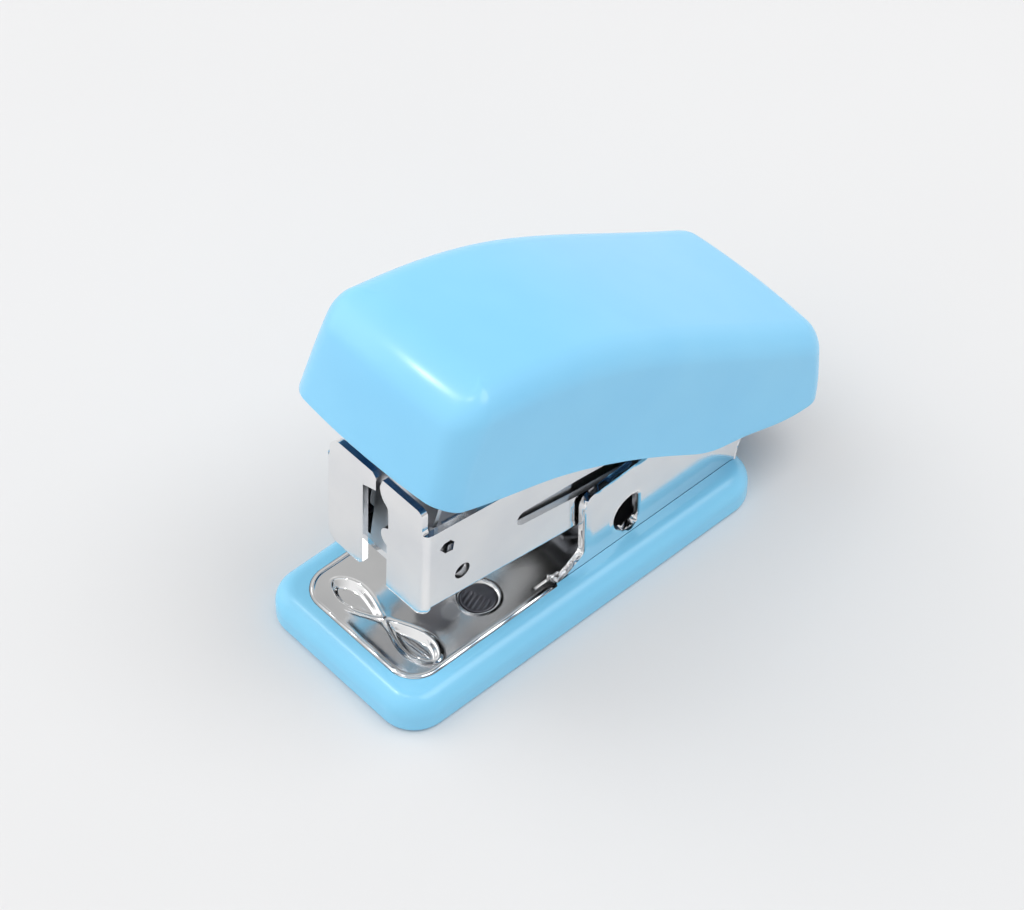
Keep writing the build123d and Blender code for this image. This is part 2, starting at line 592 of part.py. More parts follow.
with BuildPart() as handle_cover:
    add(cover_outside)
    crease = handle_cover.edges().filter_by(
        lambda e: abs(e.center().X) > 5 and HANDLE_SIDE.to_local_coords(e.center()).Y > 6.5
    )
    fillet(crease, radius=2.0)
    add(cover_block(PLASTIC), mode=Mode.SUBTRACT)
    # ribs and posts under the roof, which sit on the steel handle frame
    for along, top in RIBS:
        with BuildSketch(front_plane(HANDLE_PITCH, along, CHANNEL_TOP)) as rib:
            with Locations((0, (top - CHANNEL_TOP) / 2)):
                Rectangle(13, top - CHANNEL_TOP)
        extrude(amount=-RIB_T)
    for along, top in POSTS:
        with BuildSketch(top_plane(HANDLE_PITCH, top)) as post:
            with Locations((0, along)):
                Circle(POST_R)
        extrude(amount=CHANNEL_TOP - STEEL - NUT_T - 0.3 - top)
save(handle_cover, "handle_cover")

# ---------------------------------------------------------------- handle frame and its fixings
with BuildPart() as handle_frame:
    with BuildSketch(HANDLE_SIDE) as frame_profile:
        with BuildLine():
            Polyline(
                (EAR_U, 0),
                (EAR_U, 5.4),
                (2.4, 6.6),
                (-9.0, CHANNEL_TOP),
                (CHANNEL_FRONT, CHANNEL_TOP),
                (CHANNEL_FRONT, CHANNEL_LOW),
                (-9.0, CHANNEL_LOW),
                (-EAR_U, 3.4),
                (-EAR_U, 0),
            )
            RadiusArc((-EAR_U, 0), (EAR_U, 0), -EAR_U)
        make_face()
    extrude(amount=CHANNEL_HALF, both=True)
    roof_bends = handle_frame.edges().filter_by(
        lambda e: abs(abs(e.center().X) - CHANNEL_HALF) < 0.01
        and e.length > 10
        and HANDLE_SIDE.to_local_coords(e.center()).Y > CHANNEL_LOW + 1
    )
    fillet(roof_bends, radius=0.6)
    with BuildSketch(HANDLE_SIDE) as frame_hollow:
        with BuildLine():
            Polyline(
                (EAR_U + 1, -EAR_U - 1),
                (EAR_U + 1, 4.6),
                (2.2, 5.85),
                (-9.1, CHANNEL_TOP - STEEL),
                (CHANNEL_FRONT - 1, CHANNEL_TOP - STEEL),
                (CHANNEL_FRONT - 1, -EAR_U - 1),
                close=True,
            )
        make_face()
    extrude(amount=CHANNEL_HALF - STEEL, both=True, mode=Mode.SUBTRACT)
    with BuildSketch(HANDLE_SIDE) as frame_pin_hole:
        Circle(PIN_R + RUNNING)
    extrude(amount=CHANNEL_HALF + 1, both=True, mode=Mode.SUBTRACT)
    with BuildSketch(top_plane(HANDLE_PITCH, CHANNEL_TOP - 2)) as roof_holes:
        with Locations((0, POSTS[0][0]), (0, POSTS[1][0])):
            Circle(POST_R)
        with Locations((-BLADE_RIVET_X, BLADE_RIVET_AT), (BLADE_RIVET_X, BLADE_RIVET_AT)):
            Circle(SHANK_R)
    extrude(amount=3, mode=Mode.SUBTRACT)
save(handle_frame, "handle_frame")

with BuildPart() as cover_retainers:
    with BuildSketch(top_plane(HANDLE_PITCH, CHANNEL_TOP - STEEL)) as nuts:
        with Locations((0, POSTS[0][0]), (0, POSTS[1][0])):
            Circle(2.4)
            Circle(POST_R, mode=Mode.SUBTRACT)
    extrude(amount=-NUT_T)
save(cover_retainers, "cover_retainers")

with BuildPart() as driver_blade:
    with BuildSketch(HANDLE_SIDE) as blade_profile:
        with BuildLine():
            Polyline(
                (BLADE_TIP_U, BLADE_TIP_W),
                (BLADE_TOP_U, STRIP_TOP),
                (BLADE_TOP_U + BLADE_T + 0.1, STRIP_TOP),
                (BLADE_TOP_U + BLADE_T + 0.1, STRIP_TOP - BLADE_T),
                (BLADE_TIP_U + BLADE_T, BLADE_TIP_W),
                close=True,
            )
        make_face()
    extrude(amount=BLADE_HALF, both=True)
    with BuildSketch(HANDLE_SIDE) as strip_profile:
        with Locations(((BLADE_TOP_U + STRIP_REAR) / 2 + 0.1, STRIP_TOP - BLADE_T / 2)):
            Rectangle(STRIP_REAR - BLADE_TOP_U - 0.2, BLADE_T)
    extrude(amount=STRIP_HALF, both=True)
    with BuildSketch(top_plane(HANDLE_PITCH, STRIP_TOP - 1)) as strip_holes:
        with Locations((-BLADE_RIVET_X, BLADE_RIVET_AT), (BLADE_RIVET_X, BLADE_RIVET_AT)):
            Circle(SHANK_R)
    extrude(amount=2, mode=Mode.SUBTRACT)
save(driver_blade, "driver_blade")

with BuildPart() as blade_rivets:
    with BuildSketch(top_plane(HANDLE_PITCH, STRIP_TOP - BLADE_T)) as blade_shanks:
        with Locations((-BLADE_RIVET_X, BLADE_RIVET_AT), (BLADE_RIVET_X, BLADE_RIVET_AT)):
            Circle(SHANK_R)
    extrude(amount=BLADE_T + STEEL)
    with BuildSketch(top_plane(HANDLE_PITCH, CHANNEL_TOP)) as blade_rivet_heads:
        with Locations((-BLADE_RIVET_X, BLADE_RIVET_AT), (BLADE_RIVET_X, BLADE_RIVET_AT)):
            Circle(1.7)
    extrude(amount=0.5)
save(blade_rivets, "blade_rivets")

# ---------------------------------------------------------------- spacer and handle spring on the pin
with BuildPart() as hinge_spacer:
    with BuildSketch(BASE_SIDE) as spacer_section:
        with Locations((PIVOT_Y, PIVOT_Z)):
            Circle(SPACER_R)
            Circle(PIN_R, mode=Mode.SUBTRACT)
    extrude(amount=CHANNEL_HALF - STEEL - 0.1, both=True)
save(hinge_spacer, "hinge_spacer")

LEG_ANGLE = radians(-73.3)  # where the lower leg leaves the coil, seen from +X
TORSION_START = Plane(
    origin=MAG_SIDE.offset(-TORSION_HALF).origin,
    x_dir=MAG_SIDE.x_dir * cos(LEG_ANGLE) + MAG_SIDE.y_dir * sin(LEG_ANGLE),
    z_dir=(1, 0, 0),
)

with BuildPart() as torsion_coil:
    with BuildLine() as torsion_line:
        coil = Helix(pitch=2 * TORSION_HALF / TORSION_TURNS, height=2 * TORSION_HALF, radius=TORSION_R)
        Line((coil @ 0) - (coil % 0) * LEG_LENGTH, coil @ 0)
        Line(coil @ 1, (coil @ 1) + (coil % 1) * ARM_LENGTH)
    with BuildSketch(Plane(origin=torsion_line.line @ 0, z_dir=torsion_line.line % 0)) as torsion_wire:
        Circle(TORSION_WIRE)
    sweep(is_frenet=True)
place(torsion_coil, TORSION_START, "handle_spring")
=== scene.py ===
import math

import bmesh
import bpy
import numpy as np
from mathutils import Matrix, Vector
from mathutils.geometry import delaunay_2d_cdt


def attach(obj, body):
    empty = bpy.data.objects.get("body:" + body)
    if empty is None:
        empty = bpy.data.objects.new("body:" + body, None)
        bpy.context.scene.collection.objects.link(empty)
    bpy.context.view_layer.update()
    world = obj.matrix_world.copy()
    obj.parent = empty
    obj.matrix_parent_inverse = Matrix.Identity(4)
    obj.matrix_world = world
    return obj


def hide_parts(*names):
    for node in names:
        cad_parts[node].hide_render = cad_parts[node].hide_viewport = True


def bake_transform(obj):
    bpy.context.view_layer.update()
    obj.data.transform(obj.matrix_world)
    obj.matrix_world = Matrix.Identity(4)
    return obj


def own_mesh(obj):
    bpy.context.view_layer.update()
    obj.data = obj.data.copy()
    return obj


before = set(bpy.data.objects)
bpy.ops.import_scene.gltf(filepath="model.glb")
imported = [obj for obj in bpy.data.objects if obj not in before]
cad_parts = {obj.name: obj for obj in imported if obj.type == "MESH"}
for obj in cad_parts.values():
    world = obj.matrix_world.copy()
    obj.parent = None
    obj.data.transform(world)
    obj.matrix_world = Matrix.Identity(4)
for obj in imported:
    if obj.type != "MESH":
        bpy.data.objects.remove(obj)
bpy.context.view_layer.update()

MM = 0.001
PIVOT_Y, PIVOT_Z = 16.94, 12.2  # hinge pin, mm in the row frame
BASE_FRONT = -29.06
MAGAZINE_PITCH = math.radians(9.0)
HANDLE_PITCH = math.radians(24.6)


# ---------------------------------------------------------------- frames and small helpers
def pitched(pitch, x, u, w):
    """Points of a pitched body (mm: x sideways, u rearwards, w up from the pin) in the row frame, metres."""
    x, u, w = np.broadcast_arrays(*(np.asarray(v, float) for v in (x, u, w)))
    y = PIVOT_Y + u * math.cos(pitch) + w * math.sin(pitch)
    z = PIVOT_Z - u * math.sin(pitch) + w * math.cos(pitch)
    return np.stack([x, y, z], -1) * MM


def natural_spline(points):
    """A function through (x, y) points: a natural cubic spline, straight beyond its ends."""
    x, y = np.array(sorted(points), float).T
    n, h = len(x), np.diff(x)
    a, b = np.eye(n), np.zeros(n)
    for i in range(1, n - 1):
        a[i, i - 1 : i + 2] = h[i - 1], 2 * (h[i - 1] + h[i]), h[i]
        b[i] = 6 * ((y[i + 1] - y[i]) / h[i] - (y[i] - y[i - 1]) / h[i - 1])
    m = np.linalg.solve(a, b)
    first = (y[1] - y[0]) / h[0] - h[0] * m[1] / 6
    last = (y[-1] - y[-2]) / h[-1] + h[-1] * m[-2] / 6

    def value(q):
        q = np.asarray(q, float)
        i = np.clip(np.searchsorted(x, q) - 1, 0, n - 2)
        c = np.clip(q, x[0], x[-1])
        s, t = x[i + 1] - c, c - x[i]
        inside = (m[i] * s**3 + m[i + 1] * t**3) / (6 * h[i])
        inside += (y[i] / h[i] - m[i] * h[i] / 6) * s + (y[i + 1] / h[i] - m[i + 1] * h[i] / 6) * t
        return inside + first * np.minimum(q - x[0], 0) + last * np.maximum(q - x[-1], 0)

    return value


def smoothstep(low, high, v):
    t = np.clip((np.asarray(v, float) - low) / (high - low), 0, 1)
    return t * t * (3 - 2 * t)


def new_piece(name, points, faces):
    """A smooth mesh object from points in metres and faces, linked to the scene."""
    mesh = bpy.data.meshes.new(name)
    mesh.from_pydata([tuple(p) for p in np.asarray(points).reshape(-1, 3)], [], faces)
    mesh.validate()
    mesh.shade_smooth()
    piece = bpy.data.objects.new(name, mesh)
    bpy.context.scene.collection.objects.link(piece)
    return piece


def outward(piece, merge=0.0):
    """Merge doubled points and turn every face outwards."""
    bm = bmesh.new()
    bm.from_mesh(piece.data)
    if merge:
        bmesh.ops.remove_doubles(bm, verts=bm.verts, dist=merge)
    bmesh.ops.recalc_face_normals(bm, faces=bm.faces)
    bm.to_mesh(piece.data)
    bm.free()
    return piece


def rows_to_faces(rows, columns, closed=False):
    """Quads of a grid whose points run row by row; closed joins the last column to the first."""
    span = columns if closed else columns - 1
    faces = []
    for low in range(0, (rows - 1) * columns, columns):
        high = low + columns
        faces += [(low + c, low + (c + 1) % columns, high + (c + 1) % columns, high + c) for c in range(span)]
    return faces


def bevel(piece, width, segments=2, angle=50.0):
    """Round the edges sharper than an angle; width in mm, angle in degrees."""
    m = piece.modifiers.new("edge", "BEVEL")
    m.width, m.segments, m.limit_method, m.angle_limit = width * MM, segments, "ANGLE", math.radians(angle)
    n = piece.modifiers.new("normals", "WEIGHTED_NORMAL")
    n.keep_sharp = True
    return piece


def tube(name, line, radius, sides=10):
    """A round wire along a line of points in metres, with closed ends."""
    line = np.asarray(line, float)
    tangent = np.gradient(line, axis=0)
    tangent /= np.linalg.norm(tangent, axis=1)[:, None]
    side = np.cross(tangent[0], (1.0, 0.2, 0.1))
    side /= np.linalg.norm(side)
    rings = []
    for p, t in zip(line, tangent):
        side = side - t * (side @ t)
        side /= np.linalg.norm(side)
        other = np.cross(t, side)
        a = np.linspace(0, 2 * math.pi, sides, endpoint=False)[:, None]
        rings.append(p + radius * MM * (np.cos(a) * side + np.sin(a) * other))
    faces = rows_to_faces(len(line), sides, closed=True)
    faces += [tuple(range(sides)), tuple(range((len(line) - 1) * sides, len(line) * sides))]
    return outward(new_piece(name, np.concatenate(rings), faces))


# ---------------------------------------------------------------- materials
def base_material(name):
    """A new material with a principled shader alone: the material, its node tree and the shader."""
    material = bpy.data.materials.new(name)
    material.use_nodes = True
    tree = material.node_tree
    tree.nodes.clear()
    shader = tree.nodes.new("ShaderNodeBsdfPrincipled")
    out = tree.nodes.new("ShaderNodeOutputMaterial")
    tree.links.new(shader.outputs[0], out.inputs[0])
    return material, tree, shader


def noise(tree, scale, detail=3.0, stretch=(1, 1, 1), roughness=0.5):
    """Fractal noise in the piece's own space; scale is cycles per metre."""
    coordinates = tree.nodes.new("ShaderNodeTexCoord")
    mapping = tree.nodes.new("ShaderNodeMapping")
    mapping.inputs["Scale"].default_value = stretch
    texture = tree.nodes.new("ShaderNodeTexNoise")
    texture.inputs["Scale"].default_value = scale
    texture.inputs["Detail"].default_value = detail
    texture.inputs["Roughness"].default_value = roughness
    tree.links.new(coordinates.outputs["Object"], mapping.inputs["Vector"])
    tree.links.new(mapping.outputs[0], texture.inputs["Vector"])
    return texture.outputs["Fac"]


def ranged(tree, value, low, high, to_low, to_high):
    """A value mapped from low..high to to_low..to_high, and held at its ends."""
    node = tree.nodes.new("ShaderNodeMapRange")
    for socket, number in zip(node.inputs[1:5], (low, high, to_low, to_high)):
        socket.default_value = number
    tree.links.new(value, node.inputs[0])
    return node.outputs[0]


def mixed(tree, factor, a, b):
    """A colour between colours a and b."""
    node = tree.nodes.new("ShaderNodeMix")
    node.data_type = "RGBA"
    tree.links.new(factor, node.inputs["Factor"])
    for socket, colour in ((node.inputs[6], a), (node.inputs[7], b)):
        socket.default_value = (*colour, 1)
    return node.outputs[2]


def bumped(tree, shader, layers):
    """A chain of bumps: (height socket, strength, distance in mm)."""
    normal = None
    for height, strength, distance in layers:
        node = tree.nodes.new("ShaderNodeBump")
        node.inputs["Strength"].default_value = strength
        node.inputs["Distance"].default_value = distance * MM
        tree.links.new(height, node.inputs["Height"])
        if normal is not None:
            tree.links.new(normal, node.inputs["Normal"])
        normal = node.outputs[0]
    tree.links.new(normal, shader.inputs["Normal"])


def plastic(name, colour, dark, roughness=(0.235, 0.265)):
    """Glossy moulded ABS: a faint flow mottle, uneven gloss and orange peel."""
    material, tree, shader = base_material(name)
    mottle = ranged(tree, noise(tree, 90, 2), 0.35, 0.65, 0, 1)
    tree.links.new(mixed(tree, mottle, colour, dark), shader.inputs["Base Color"])
    haze = noise(tree, 120, 3)
    tree.links.new(ranged(tree, haze, 0.35, 0.65, *roughness), shader.inputs["Roughness"])
    shader.inputs["IOR"].default_value = 1.5
    peel = noise(tree, 650, 1)
    bumped(tree, shader, [(peel, 0.06, 0.04)])
    return material


def metal(name, colour, tint, roughness, brushed=(1, 1, 1), scratch=0.05, ripple=0.05):
    """Plated or bare steel: cloudy polish, drawn scratches and a slight stamping ripple."""
    material, tree, shader = base_material(name)
    cloud = ranged(tree, noise(tree, 160, 3), 0.35, 0.7, 0, 1)
    tree.links.new(mixed(tree, cloud, colour, tint), shader.inputs["Base Color"])
    shader.inputs["Metallic"].default_value = 1.0
    drawn = noise(tree, 900, 6, brushed, 0.75)
    tree.links.new(ranged(tree, drawn, 0.3, 0.75, *roughness), shader.inputs["Roughness"])
    waves = noise(tree, 230, 1)
    bumped(tree, shader, [(waves, ripple, 0.08), (drawn, scratch, 0.006)])
    return material


BLUE = plastic("blue_plastic", (0.265, 0.67, 0.97), (0.25, 0.65, 0.96))
# painted shade: the cap's inner face gets a darker blue than the same plastic outside, standing in for the
# shade inside the cap and darkening its reflections
BLUE_PAINTED_SHADE_INSIDE = plastic("blue_plastic_painted_shade", (0.13, 0.38, 0.68), (0.12, 0.36, 0.66), (0.36, 0.46))
BLUE_BASE = plastic("blue_plastic_base", (0.262, 0.685, 0.965), (0.25, 0.665, 0.955))
CHROME = metal("chrome_sheet", (0.90, 0.90, 0.90), (0.82, 0.83, 0.85), (0.05, 0.16), (1, 0.12, 1))
CHROME_PLATE = metal("chrome_plate", (0.84, 0.84, 0.84), (0.76, 0.765, 0.77), (0.07, 0.14), (1, 0.12, 1))
PLATED = metal("plated_steel", (0.78, 0.79, 0.8), (0.66, 0.67, 0.7), (0.3, 0.46), (1, 0.1, 1))
SPRING = metal("spring_steel", (0.42, 0.43, 0.46), (0.3, 0.31, 0.34), (0.29, 0.42))
DARK = metal("dark_steel", (0.24, 0.24, 0.26), (0.13, 0.13, 0.15), (0.3, 0.45))

CAD_FINISH = {
    "base_shell": BLUE_BASE,
    "handle_cover": BLUE,
    "base_frame": CHROME_PLATE,
    "magazine_sleeve": CHROME,
    "handle_frame": CHROME,
    "hinge_pin": CHROME,
    "staple_rail": PLATED,
    "pusher": PLATED,
    "driver_blade": PLATED,
    "frame_rivets": DARK,
    "return_spring_rivet": PLATED,
    "rail_rivets": PLATED,
    "blade_rivets": PLATED,
    "cover_retainers": SPRING,
    "hinge_spacer": PLATED,
    "guide_rod": PLATED,
    "rod_clip": SPRING,
}
for node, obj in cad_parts.items():
    obj.data.materials.clear()
    obj.data.materials.append(CAD_FINISH.get(node, SPRING))

# ---------------------------------------------------------------- the cap, in the handle's own axes
TOP = natural_spline(
    [(-43.0, 12.09), (-36.5, 13.5), (-27.5, 14.36), (-14.2, 13.17), (-1.0, 11.04), (8.0, 9.73)]
)
SKIRT = natural_spline(
    [(-45.0, -0.5), (-38.0, -0.22), (-30.0, 0.42), (-23.0, 0.29), (-16.0, -0.4), (-10.0, -1.36)]
    + [(-5.2, -1.9), (-1.0, -1.34), (4.0, -0.92), (8.6, -0.01), (11.6, 1.18)]
)
# the cap's plan at heights above the pin, as (height, measure) points
HALF = natural_spline([(-3, 11.6), (3, 10.98), (8, 10.8), (14.5, 10.45)])
FRONT = natural_spline([(-3, -45.5), (3, -45.8), (8, -45.95), (14.5, -44.6)])
REAR = natural_spline([(-3, 12.8), (3, 11.15), (8, 9.0), (14.5, 7.15)])
PLAN_CORNER = natural_spline([(-3, 3.0), (3, 2.4), (8, 2.8), (14.5, 2.6)])
SIDE_SLOPE, FRONT_SLOPE, REAR_SLOPE = 0.07, 0.12, 0.33  # how far the walls lean in
CREASE_SIDE, CREASE_FRONT = 2.9, 4.3
FRONT_CORNER_EXTRA = 0.2
CROWN, FRONT_BOW, REAR_BOW = 0.46, 0.6, 0.12  # how far the roof and the end walls fall away at BOW_HALF
BOW_HALF = 9.0
WALL = 1.4
LONG, SHORT, CORNER = 72, 30, 12  # points along a side, an end and a corner of each ring


def ring_layout():
    """For each point of a ring: corner signs before and after it, share of the way, and outward normal."""
    corners = [(1, -1), (1, 1), (-1, 1), (-1, -1)]
    starts = [-math.pi / 2, 0, math.pi / 2, math.pi]
    before, after, share, normal = [], [], [], []
    for k, (corner, start) in enumerate(zip(corners, starts)):
        for a in np.linspace(0, math.pi / 2, CORNER, endpoint=False):
            before.append(corner), after.append(corner), share.append(0)
            normal.append((math.cos(start + a), math.sin(start + a)))
        following, turn = corners[(k + 1) % 4], start + math.pi / 2
        for s in np.linspace(0, 1, LONG if k % 2 == 0 else SHORT, endpoint=False):
            before.append(corner), after.append(following), share.append(s)
            normal.append((math.cos(turn), math.sin(turn)))
    return np.array(before, float), np.array(after, float), np.array(share)[:, None], np.array(normal)


BEFORE, AFTER, SHARE, NORMAL = ring_layout()
FRONTAL = np.clip(-NORMAL[:, 1], 0, 1) ** 2
REARWARD = np.clip(NORMAL[:, 1], 0, 1) ** 2
LEAN = SIDE_SLOPE * NORMAL[:, 0] ** 2 + FRONT_SLOPE * FRONTAL + REAR_SLOPE * REARWARD


def outline(height, inset):
    """Plan points (x, u) of the cap at heights, inset from its wall; both are one value per point."""
    half, front, rear, corner = HALF(height), FRONT(height), REAR(height), PLAN_CORNER(height)
    half = half - inset
    length = (rear - front) / 2 - inset
    spot = BEFORE * (1 - SHARE) + AFTER * SHARE
    corner = corner + FRONT_CORNER_EXTRA * (1 - spot[:, 1]) / 2
    radius = np.minimum(np.maximum(corner - inset, 0.3), half)
    x = spot[:, 0] * (half - radius) + NORMAL[:, 0] * radius
    u = (front + rear) / 2 + spot[:, 1] * (length - radius) + NORMAL[:, 1] * radius
    front_bow = FRONT_BOW * np.clip((-36 - u) / 9, 0, 1) ** 2
    rear_bow = REAR_BOW * np.clip((u - 3) / 8, 0, 1) ** 2
    return x, u + (front_bow - rear_bow) * (x / BOW_HALF) ** 2


def roof(x, u):
    return TOP(u) - CROWN * (x / BOW_HALF) ** 2


def cap_points():
    """Rings of (x, u, w) points: up the wall, round the crease and over the roof to the middle."""
    angle = np.arctan(LEAN)
    crease_r = CREASE_SIDE + (CREASE_FRONT - CREASE_SIDE) * FRONTAL
    centre = crease_r * (1 - np.sin(angle)) / np.cos(angle)
    rings = []
    height = np.full(len(SHARE), 4.0)

    def settle(rule):
        """Find a ring whose heights and plan agree: rule gives heights and insets."""
        h = height.copy()
        for _ in range(12):
            inset = rule(h)[1]
            x, u = outline(h, inset)
            h = 0.5 * h + 0.5 * rule(h, x, u)[0]
        x, u = outline(h, rule(h)[1])
        rings.append(np.stack([x, u, rule(h, x, u)[0]], 1))

    for s in np.linspace(0, 1, 15):
        def wall(h, x=None, u=None, s=s):
            if x is None:
                return h, np.zeros_like(h)
            top = roof(x, u) - crease_r * (1 - np.sin(angle))
            return SKIRT(u) + (top - SKIRT(u)) * s, np.zeros_like(h)
        settle(wall)
    for q in np.linspace(0, 1, 13)[1:]:
        def bend(h, x=None, u=None, q=q):
            phi = angle + (math.pi / 2 - angle) * q
            inset = centre - crease_r * np.cos(phi) + crease_r * (1 - np.sin(phi)) * np.tan(angle)
            if x is None:
                return h, inset
            return roof(x, u) - crease_r * (1 - np.sin(phi)), inset
        settle(bend)
    for q in np.linspace(0, 1, 16)[1:]:
        def top(h, x=None, u=None, q=q):
            half = HALF(h)
            inset = centre + (half - centre) * q
            return (h if x is None else roof(x, u)), inset
        settle(top)
    return rings


def make_cap():
    """The cap's shell: its outer face, thickened inwards."""
    rings = cap_points()
    xuw = np.concatenate(rings)
    points = pitched(HANDLE_PITCH, xuw[:, 0], xuw[:, 1], xuw[:, 2])
    cap = new_piece("cap_shell", points, rows_to_faces(len(rings), len(SHARE), closed=True))
    outward(cap, merge=2e-6)
    m = cap.modifiers.new("wall", "SOLIDIFY")
    m.thickness, m.offset, m.use_even_offset, m.use_quality_normals = WALL * MM, -1, True, True
    # the inner face takes the second material, the darker blue of painted shade inside the cap
    m.material_offset = 1
    bevel(cap, 0.32, 3, 60)
    cap.data.materials.append(BLUE)
    cap.data.materials.append(BLUE_PAINTED_SHADE_INSIDE)
    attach(cap, "handle")
    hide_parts("handle_cover")
    return cap


cap = make_cap()


def pitched_box(name, pitch, x, u, w, edge=0.1):
    """A bevelled block between (low, high) pairs in a pitched body's own axes."""
    corners = [(a, b, c) for a in x for b in u for c in w]
    xyz = np.array(corners, float)
    faces = [(0, 1, 3, 2), (4, 6, 7, 5), (0, 4, 5, 1), (2, 3, 7, 6), (0, 2, 6, 4), (1, 5, 7, 3)]
    piece = outward(new_piece(name, pitched(pitch, xyz[:, 0], xyz[:, 1], xyz[:, 2]), faces))
    return bevel(piece, edge, 2)


CHANNEL_TOP = 8.3  # upper face of the handle frame, which the ribs and posts reach
RIB_HALF, RIB_THICK, POST_R = 6.5, 1.0, 1.2
for number, (along, top) in enumerate(((-37.9, 12.0), (-21.0, 12.7), (-8.0, 10.9)), 1):
    stretch = (along, along + RIB_THICK)
    rib = pitched_box(f"cap_rib_{number}", HANDLE_PITCH, (-RIB_HALF, RIB_HALF), stretch, (CHANNEL_TOP, top))
    rib.data.materials.append(BLUE)
    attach(rib, "handle")
for number, (along, top) in enumerate(((-28.0, 13.0), (-13.5, 11.8)), 1):
    line = pitched(HANDLE_PITCH, 0, along, np.linspace(top, CHANNEL_TOP - 1.4, 8))
    post = tube(f"cap_post_{number}", line, POST_R, 24)
    bevel(post, 0.2, 2)
    post.data.materials.append(BLUE)
    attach(post, "handle")

# ---------------------------------------------------------------- base frame: plate, anvil, ears
PLATE_TOP, FRAME_STEEL = 4.0, 0.8
PLATE_FRONT, APRON_REAR, PLATE_REAR = 2.6, 22.3, 47.0  # from the base's front edge
APRON_HALF, PLATE_HALF, PLATE_CORNER = 8.75, 7.62, 3.3
ANVIL_X, ANVIL_Y, ANVIL_TURN = 0.45, 6.35, math.radians(4.5)  # middle of the anvil and its turn
LEAF_ROOT, LEAF_LENGTH, LEAF_WIDTH = 0.25, 7.3, 2.9
RIVET_X, RIVET_Y, DIMPLE_R = 4.4, 15.2, 2.0


def leaf_outline(side):
    """One leaf of the bow-tie anvil, about its own middle line."""
    t = np.linspace(0, math.pi, 60)
    share = (1 - np.cos(t)) / 2
    along = LEAF_ROOT + (LEAF_LENGTH - LEAF_ROOT) * share
    half = LEAF_WIDTH / 2 * np.sin(math.pi * share**1.5) ** 0.62 + 0.02
    fore = np.stack([side * along, -half], 1)
    return np.concatenate([fore, fore[::-1] * (1, -1)])


def signed_distance(x, y, loop):
    """Distance from points to a closed loop, negative inside it."""
    a, b = loop, np.roll(loop, -1, axis=0)
    best = np.full(x.shape, 1e9)
    inside = np.zeros(x.shape, bool)
    for (ax, ay), (bx, by) in zip(a, b):
        dx, dy = bx - ax, by - ay
        t = np.clip(((x - ax) * dx + (y - ay) * dy) / max(dx * dx + dy * dy, 1e-12), 0, 1)
        best = np.minimum(best, np.hypot(x - ax - t * dx, y - ay - t * dy))
        crosses = (ay > y) != (by > y)
        with np.errstate(divide="ignore", invalid="ignore"):
            inside ^= crosses & (x < (bx - ax) * (y - ay) / (by - ay) + ax)
    return np.where(inside, -best, best)


def plate_height(x, y):
    """Height of the plate's upper face above its nominal level."""
    z = np.zeros(x.shape)
    cos_turn, sin_turn = math.cos(ANVIL_TURN), math.sin(ANVIL_TURN)
    along = (x - ANVIL_X) * cos_turn + (y - ANVIL_Y) * sin_turn
    across = (y - ANVIL_Y) * cos_turn - (x - ANVIL_X) * sin_turn
    near = np.abs(y - ANVIL_Y) < 3.6
    leaf = np.full(x.shape, 9.0)
    for side in (-1, 1):
        leaf[near] = np.minimum(leaf[near], signed_distance(along[near], across[near], leaf_outline(side)))
    lip = 0.15 + 0.07 * np.tanh(across / 0.5)
    z += lip * np.exp(-((leaf / 0.3) ** 2))  # raised lip round each leaf, higher at the rear
    z -= 0.58 * smoothstep(0.0, -0.75, leaf)
    middle = np.exp(-(((across + 0.05) / 0.24) ** 2))
    middle = middle * smoothstep(0.8, 2.4, np.abs(along)) * smoothstep(7.0, 5.2, np.abs(along))
    z += 0.07 * middle * (leaf < 0)  # low ridge along the trough
    saddle = np.exp(-((along / 0.9) ** 2) - (across / 0.75) ** 2)
    z += 0.10 * saddle
    for side in (-1, 1):
        r = np.hypot(x - side * RIVET_X, y - RIVET_Y)
        z -= 0.34 * smoothstep(DIMPLE_R + 0.18, DIMPLE_R - 0.22, r)
        z += 0.05 * np.exp(-(((r - DIMPLE_R - 0.2) / 0.16) ** 2))
        slot = np.hypot(x - side * 7.45, np.maximum(np.abs(y - 21.6) - 1.4, 0))
        z -= 0.4 * smoothstep(0.2, 0.08, slot)
    wave = np.sin(x * 0.55 + 0.8) * np.sin(y * 0.42 + 0.5) + 0.6 * np.sin(x * 0.31 - y * 0.7)
    z += 0.005 * wave * smoothstep(24, 18, y)
    beyond_side = np.maximum(np.abs(x) - (APRON_HALF - PLATE_CORNER), 0)
    beyond_front = np.maximum(PLATE_CORNER - (y - PLATE_FRONT), 0)
    edge = PLATE_CORNER - np.hypot(beyond_side, beyond_front)  # distance from the plate's edge
    uneven = 1 + 0.3 * np.sin(1.9 * x + 0.4) * np.sin(1.3 * y)
    z += 0.09 * uneven * np.exp(-(((edge - 0.34) / 0.17) ** 2)) * smoothstep(22.0, 20.5, y)  # pressed rim
    return z


def spaced(breaks):
    """Positions from each (position, step) break to the next, at the step given for that stretch."""
    out = []
    for (a, step), (b, _) in zip(breaks, breaks[1:]):
        out.append(np.linspace(a, b, max(int(round((b - a) / step)), 1), endpoint=False))
    return np.concatenate([*out, [breaks[-1][0]]])


